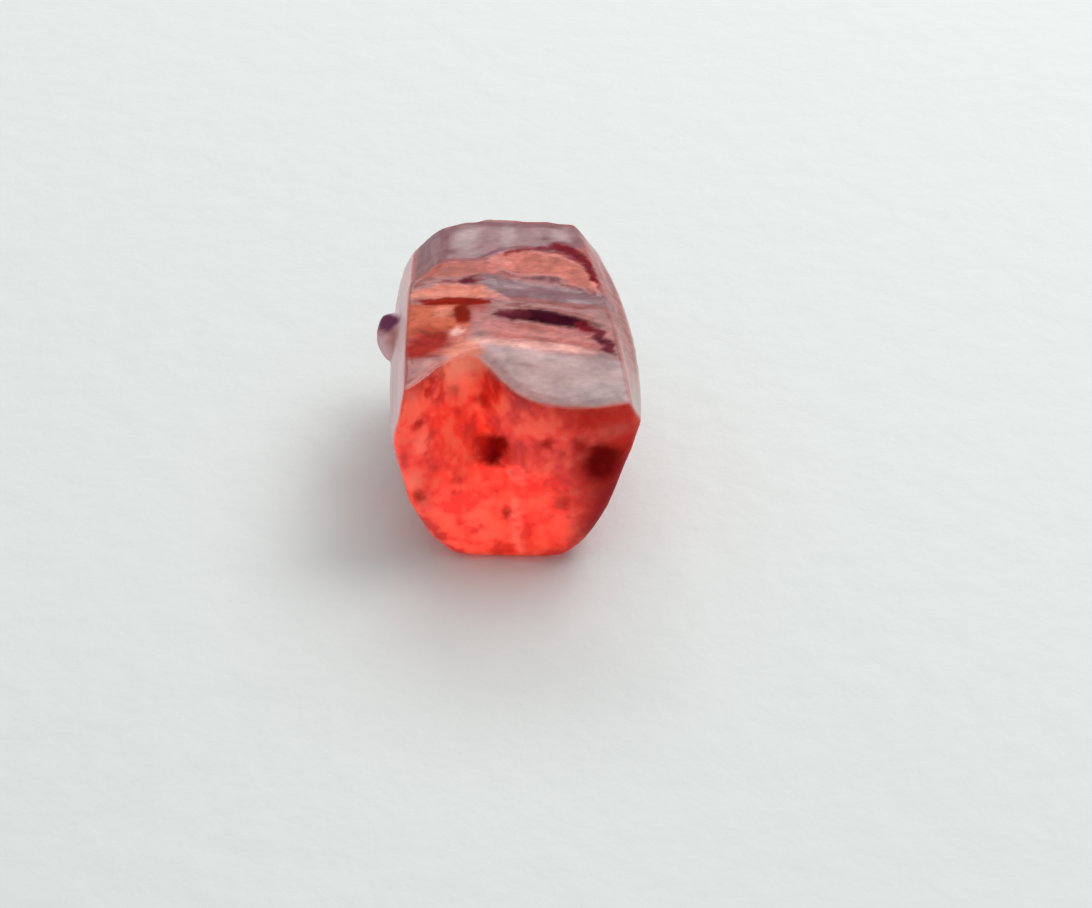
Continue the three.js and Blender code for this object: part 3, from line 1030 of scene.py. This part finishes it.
@dataclass
class Veils:
    """The healed cracks: pale flakes on wavy sheets across the crystal. Lengths are in millimetres."""

    walls: BVHTree
    outside: float = 20.0
    clearance: float = 0.3
    tilt: float = 0.12
    depths: tuple[float, ...] = (-4.3, -3.2, -1.9, -0.4, 1.3, 2.9)
    middle: PlanPoint = (0.15, 3.75)
    reach: PlanPoint = (2.9, 2.75)
    wave: float = 0.4
    steps: int = 24
    flakes: float = 14.0
    smallest: Point = (0.02, 0.02, 0.004)
    biggest: Point = (0.16, 0.10, 0.012)
    gap_size: float = 1.1
    bare_below: float = 0.44
    full_above: float = 0.66
    seed: int = 3

    def build(self, finish: VeilFinish) -> bpy.types.Object:
        """Scatters pale flakes over all the sheets and turns them into a plain mesh.

        Args:
            finish: The veils' finish.

        Returns:
            The finished piece.
        """
        shape = bmesh.new()
        for index, depth in enumerate(self.depths):
            self.add_sheet(shape, depth, index)
        sheets = bpy.data.meshes.new("sheets")
        shape.to_mesh(sheets)
        shape.free()
        sheets.transform(Matrix.Scale(MM, 4))
        scatter = Scatter("healed_cracks", finish.make(), self.seed)
        scatter.over_sheets(self.gap_size * MM, self.bare_below, self.full_above)
        sizes = {"Density": self.flakes / MM**2, "Smallest": self.smallest, "Biggest": self.biggest}
        return scatter.build(sheets, sizes)

    def add_sheet(self, shape: bmesh.types.BMesh, depth: float, index: int) -> None:
        """Adds one sheet, which only says where the flakes go.

        Args:
            shape: The mesh that it goes into.
            depth: Where it is along the crystal.
            index: Its number, which sets its waves.
        """
        rows = []
        for row in range(self.steps + 1):
            across = 2 * row / self.steps - 1
            rows.append([])
            for column in range(self.steps + 1):
                up = 2 * column / self.steps - 1
                half = math.sqrt(1 - up * up / 2)
                place = self.place(depth, index, across * half, up * math.sqrt(1 - across * across / 2))
                rows[-1].append(shape.verts.new(place))
        for first, second in zip(rows, rows[1:]):
            for column in range(self.steps):
                shape.faces.new([first[column], first[column + 1], second[column + 1], second[column]])

    def place(self, depth: float, index: int, across: float, up: float) -> Point:
        """A corner of a sheet, kept behind the near break.

        Args:
            depth: Where the sheet is along the crystal.
            index: Its number, which sets its waves.
            across: How far across the sheet the corner is, from -1 to 1.
            up: How far up it is, from -1 to 1.

        Returns:
            The corner.
        """
        x = self.middle[0] + self.reach[0] * across
        z = self.middle[1] + self.reach[1] * up
        lift = self.wave * noise.fractal(Vector((x / 1.6, z / 1.6, index * 5.1)), 0.9, 2.0, 3)
        y = depth + lift + self.tilt * (z - self.middle[1])
        surface = self.walls.ray_cast(Vector((x, -self.outside, z)), Vector((0, 1, 0)))[0]
        if surface is not None:
            y = max(y, surface.y + self.clearance)
        return x, y, z


@dataclass
class Specks:
    """Dark grains scattered inside the crystal. Lengths are in millimetres."""

    walls: BVHTree
    count: int = 40
    low: Point = (-2.9, -4.9, 1.2)
    high: Point = (2.9, 3.8, 6.5)
    smallest: float = 0.02
    biggest: float = 0.06
    seed: int = 7
    corners_each: int = 12

    def build(self, finish: SpeckFinish) -> bpy.types.Object:
        """Scatters the grains and turns them into a plain mesh.

        Args:
            finish: The grains' finish.

        Returns:
            The finished piece.
        """
        scatter = Scatter("dark_grains", finish.make(), self.seed)
        scatter.through_box()
        sizes = {
            "Count": self.count,
            "Low": tuple(side * MM for side in self.low),
            "High": tuple(side * MM for side in self.high),
            "Smallest": (self.smallest,) * 3,
            "Biggest": (self.biggest,) * 3,
        }
        grains = scatter.build(bpy.data.meshes.new("empty"), sizes)
        self.drop_strays(grains.data)
        return grains

    def drop_strays(self, mesh: bpy.types.Mesh) -> None:
        """Takes out the grains that fell outside the crystal.

        Args:
            mesh: The grains' mesh, whose corners lie grain by grain.
        """
        shape = bmesh.new()
        shape.from_mesh(mesh)
        corners = list(shape.verts)
        strays = []
        for first in range(0, len(corners), self.corners_each):
            grain = corners[first : first + self.corners_each]
            if any(self.is_outside(corner.co / MM) for corner in grain):
                strays += grain
        bmesh.ops.delete(shape, geom=strays, context="VERTS")
        shape.to_mesh(mesh)
        shape.free()

    def is_outside(self, place: Vector) -> bool:
        """Whether a place is beyond the crystal's surface."""
        nearest, outwards, _, _ = self.walls.find_nearest(place)
        return (place - nearest).dot(outwards) > 0


class Scatter:
    """A Geometry Nodes tree that scatters small grains, each of its own size and turn."""

    kinds = {
        "Count": "NodeSocketInt",
        "Density": "NodeSocketFloat",
        "Low": "NodeSocketVector",
        "High": "NodeSocketVector",
        "Smallest": "NodeSocketVector",
        "Biggest": "NodeSocketVector",
    }

    def __init__(self, name: str, material: bpy.types.Material, seed: int) -> None:
        """Starts the tree with its named inputs.

        Args:
            name: The finished piece's name.
            material: What the grains are made of.
            seed: What the random places, turns and sizes start from.
        """
        self.name = name
        self.material = material
        self.seed = seed
        self.tree = bpy.data.node_groups.new(name, "GeometryNodeTree")
        self.tree.interface.new_socket(name="Geometry", in_out="INPUT", socket_type="NodeSocketGeometry")
        self.sockets = {
            name: self.tree.interface.new_socket(name=name, in_out="INPUT", socket_type=kind).identifier
            for name, kind in self.kinds.items()
        }
        self.tree.interface.new_socket(name="Geometry", in_out="OUTPUT", socket_type="NodeSocketGeometry")
        self.start = self.node("NodeGroupInput")
        self.copies = self.node("GeometryNodeInstanceOnPoints")

    def node(self, kind: str, **settings: Any) -> bpy.types.Node:
        """Makes one node."""
        made = self.tree.nodes.new(kind)
        for name, value in settings.items():
            setattr(made, name, value)
        return made

    def join(self, *links: tuple[bpy.types.NodeSocket, bpy.types.NodeSocket]) -> None:
        """Links outputs to inputs."""
        for output, socket in links:
            self.tree.links.new(output, socket)

    def random(self, kind: str, seed: int, least: Any, most: Any) -> bpy.types.NodeSocket:
        """A random value for each grain.

        Args:
            kind: The value's type.
            seed: What is added to the tree's own seed.
            least: The lowest value, or the socket that gives it.
            most: The highest.

        Returns:
            The value's socket.
        """
        made = self.node("FunctionNodeRandomValue", data_type=kind)
        enabled = [socket for socket in made.inputs if socket.enabled]
        for socket, value in zip(enabled[:2], (least, most)):
            if isinstance(value, bpy.types.NodeSocket):
                self.join((value, socket))
            else:
                socket.default_value = value
        made.inputs["Seed"].default_value = self.seed + seed
        return next(socket for socket in made.outputs if socket.enabled)

    def through_box(self) -> None:
        """Puts the grains at random places in a box, turned at random."""
        points = self.node("GeometryNodePoints")
        place = self.random("FLOAT_VECTOR", 0, self.start.outputs["Low"], self.start.outputs["High"])
        turn = self.random("FLOAT_VECTOR", 1, (0.0,) * 3, (math.tau,) * 3)
        self.join(
            (self.start.outputs["Count"], points.inputs["Count"]),
            (place, points.inputs["Position"]),
            (points.outputs[0], self.copies.inputs["Points"]),
            (turn, self.copies.inputs["Rotation"]),
        )

    def over_sheets(self, gap_size: float, bare_below: float, full_above: float) -> None:
        """Puts the grains flat on the sheets of the mesh, with gaps between clouds of them.

        Args:
            gap_size: How wide a gap is, in metres.
            bare_below: The cloud's value under which there are no grains.
            full_above: The value over which they are densest.
        """
        points = self.node("GeometryNodeDistributePointsOnFaces")
        points.inputs["Seed"].default_value = self.seed
        clouds = self.node("ShaderNodeTexNoise")
        clouds.inputs["Scale"].default_value = 1 / gap_size
        clouds.inputs["Detail"].default_value = 3.0
        share = self.node("ShaderNodeMapRange")
        share.inputs["From Min"].default_value = bare_below
        share.inputs["From Max"].default_value = full_above
        many = self.node("ShaderNodeMath", operation="MULTIPLY")
        self.join(
            (clouds.outputs[0], share.inputs["Value"]),
            (share.outputs["Result"], many.inputs[0]),
            (self.start.outputs["Density"], many.inputs[1]),
            (self.start.outputs["Geometry"], points.inputs["Mesh"]),
            (many.outputs[0], points.inputs["Density"]),
            (points.outputs["Points"], self.copies.inputs["Points"]),
            (points.outputs["Rotation"], self.copies.inputs["Rotation"]),
        )

    def build(self, mesh: bpy.types.Mesh, sizes: dict[str, Any]) -> bpy.types.Object:
        """Ends the tree, runs it and keeps what it makes as a plain mesh.

        Args:
            mesh: What the tree starts from.
            sizes: The values of the named inputs.

        Returns:
            The finished piece.
        """
        end = self.node("NodeGroupOutput")
        grain = self.node("GeometryNodeMeshIcoSphere")
        grain.inputs["Radius"].default_value = MM
        grain.inputs["Subdivisions"].default_value = 1
        real = self.node("GeometryNodeRealizeInstances")
        dress = self.node("GeometryNodeSetMaterial")
        dress.inputs["Material"].default_value = self.material
        size = self.random("FLOAT_VECTOR", 2, self.start.outputs["Smallest"], self.start.outputs["Biggest"])
        self.join(
            (grain.outputs["Mesh"], self.copies.inputs["Instance"]),
            (size, self.copies.inputs["Scale"]),
            (self.copies.outputs[0], real.inputs[0]),
            (real.outputs[0], dress.inputs["Geometry"]),
            (dress.outputs[0], end.inputs[0]),
        )
        helper = new_object("helper", mesh)
        change = helper.modifiers.new("scatter", "NODES")
        change.node_group = self.tree
        for name, value in sizes.items():
            change[self.sockets[name]] = value
        plain = as_plain_mesh(helper)
        helper.modifiers.remove(change)
        bpy.data.objects.remove(helper)
        if not plain.materials:
            plain.materials.append(self.material)
        return new_object(self.name, plain)


@dataclass
class Studio:
    """The paper, the windows' light and the camera. Lengths are in millimetres."""

    paper_size: float = 900.0
    paper_gap: float = 0.03
    aim: Point = (1.36, 0.75, 0.0)
    distance: float = 90.0
    elevation: float = 40.0
    lens: float = 82.4
    sky: float = 0.43

    def build(self) -> None:
        """Makes everything around the crystal."""
        self.lay_paper()
        self.light_sky()
        self.hang_light("window", azimuth=8, elevation=42, distance=260, size=(200, 84), glow=3.6)
        self.hang_light("high window", azimuth=62, elevation=58, distance=260, size=(140, 120), glow=4.8)
        self.hang_light("ceiling", azimuth=0, elevation=88, distance=260, size=(150, 150), glow=0.6)
        self.hang_light("low right window", azimuth=44, elevation=7, distance=260, size=(150, 80), glow=1.2)
        self.hang_light("left wall", azimuth=-42, elevation=9, distance=260, size=(130, 78), glow=1.1)
        self.set_camera()
        bpy.context.scene.view_settings.view_transform = "Standard"

    def lay_paper(self) -> None:
        """The sheet of paper under the crystal."""
        half = self.paper_size / 2 * MM
        height = -self.paper_gap * MM
        mesh = bpy.data.meshes.new("paper")
        corners = [(-half, -half, height), (half, -half, height), (half, half, height), (-half, half, height)]
        mesh.from_pydata(corners, [], [(0, 1, 2, 3)])
        mesh.materials.append(PaperFinish().make())
        new_object("paper", mesh)

    def light_sky(self) -> None:
        """The even light of the room."""
        world = bpy.data.worlds.new("room")
        world.use_nodes = True
        world.node_tree.nodes["Background"].inputs["Color"].default_value = (0.97, 1.0, 1.0, 1.0)
        world.node_tree.nodes["Background"].inputs["Strength"].default_value = self.sky
        bpy.context.scene.world = world

    def hang_light(
        self,
        name: str,
        azimuth: float,
        elevation: float,
        distance: float,
        size: tuple[float, float],
        glow: float,
    ) -> None:
        """Hangs one flat light that faces the crystal.

        Args:
            name: What it stands for.
            azimuth: Its direction, in degrees from +Y towards +X.
            elevation: Its height, in degrees.
            distance: How far off it is.
            size: Its width and height.
            glow: How bright its face is.
        """
        lamp = bpy.data.lights.new(name, "AREA")
        lamp.shape = "RECTANGLE"
        lamp.size, lamp.size_y = (side * MM for side in size)
        lamp.energy = glow * math.pi * lamp.size * lamp.size_y
        turn, lift = math.radians(azimuth), math.radians(elevation)
        flat = math.cos(lift)
        way = Vector((math.sin(turn) * flat, math.cos(turn) * flat, math.sin(lift)))
        thing = bpy.data.objects.new(name, lamp)
        thing.location = way * distance * MM
        thing.rotation_euler = way.to_track_quat("Z", "Y").to_euler()
        bpy.context.scene.collection.objects.link(thing)

    def set_camera(self) -> None:
        """Looks down at the crystal along +Y."""
        camera = bpy.data.cameras.new("camera")
        camera.sensor_width = 36.0
        camera.lens = self.lens
        camera.clip_start = MM
        lift = math.radians(self.elevation)
        back = Vector((0.0, -math.cos(lift), math.sin(lift))) * self.distance
        thing = bpy.data.objects.new("camera", camera)
        thing.location = (Vector(self.aim) + back) * MM
        thing.rotation_euler = (math.pi / 2 - lift, 0.0, 0.0)
        bpy.context.scene.collection.objects.link(thing)
        bpy.context.scene.camera = thing


def report(piece: bpy.types.Object) -> None:
    """Logs a finished piece."""
    log.info("%s: %d faces", piece.name, len(piece.data.polygons))


def main() -> None:
    """Builds the crystal and what is around it."""
    logging.basicConfig(level=logging.INFO, format="%(message)s")
    Studio().build()
    skin = CrystalSkin().build(RubelliteFinish())
    walls = walls_of(skin)
    veils = Veils(walls).build(VeilFinish())
    grains = Specks(walls).build(SpeckFinish())
    for piece in (skin, veils, grains):
        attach(piece, BODY)
        report(piece)
    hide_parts(CRYSTAL_NODE)


if __name__ == "__main__":
    main()
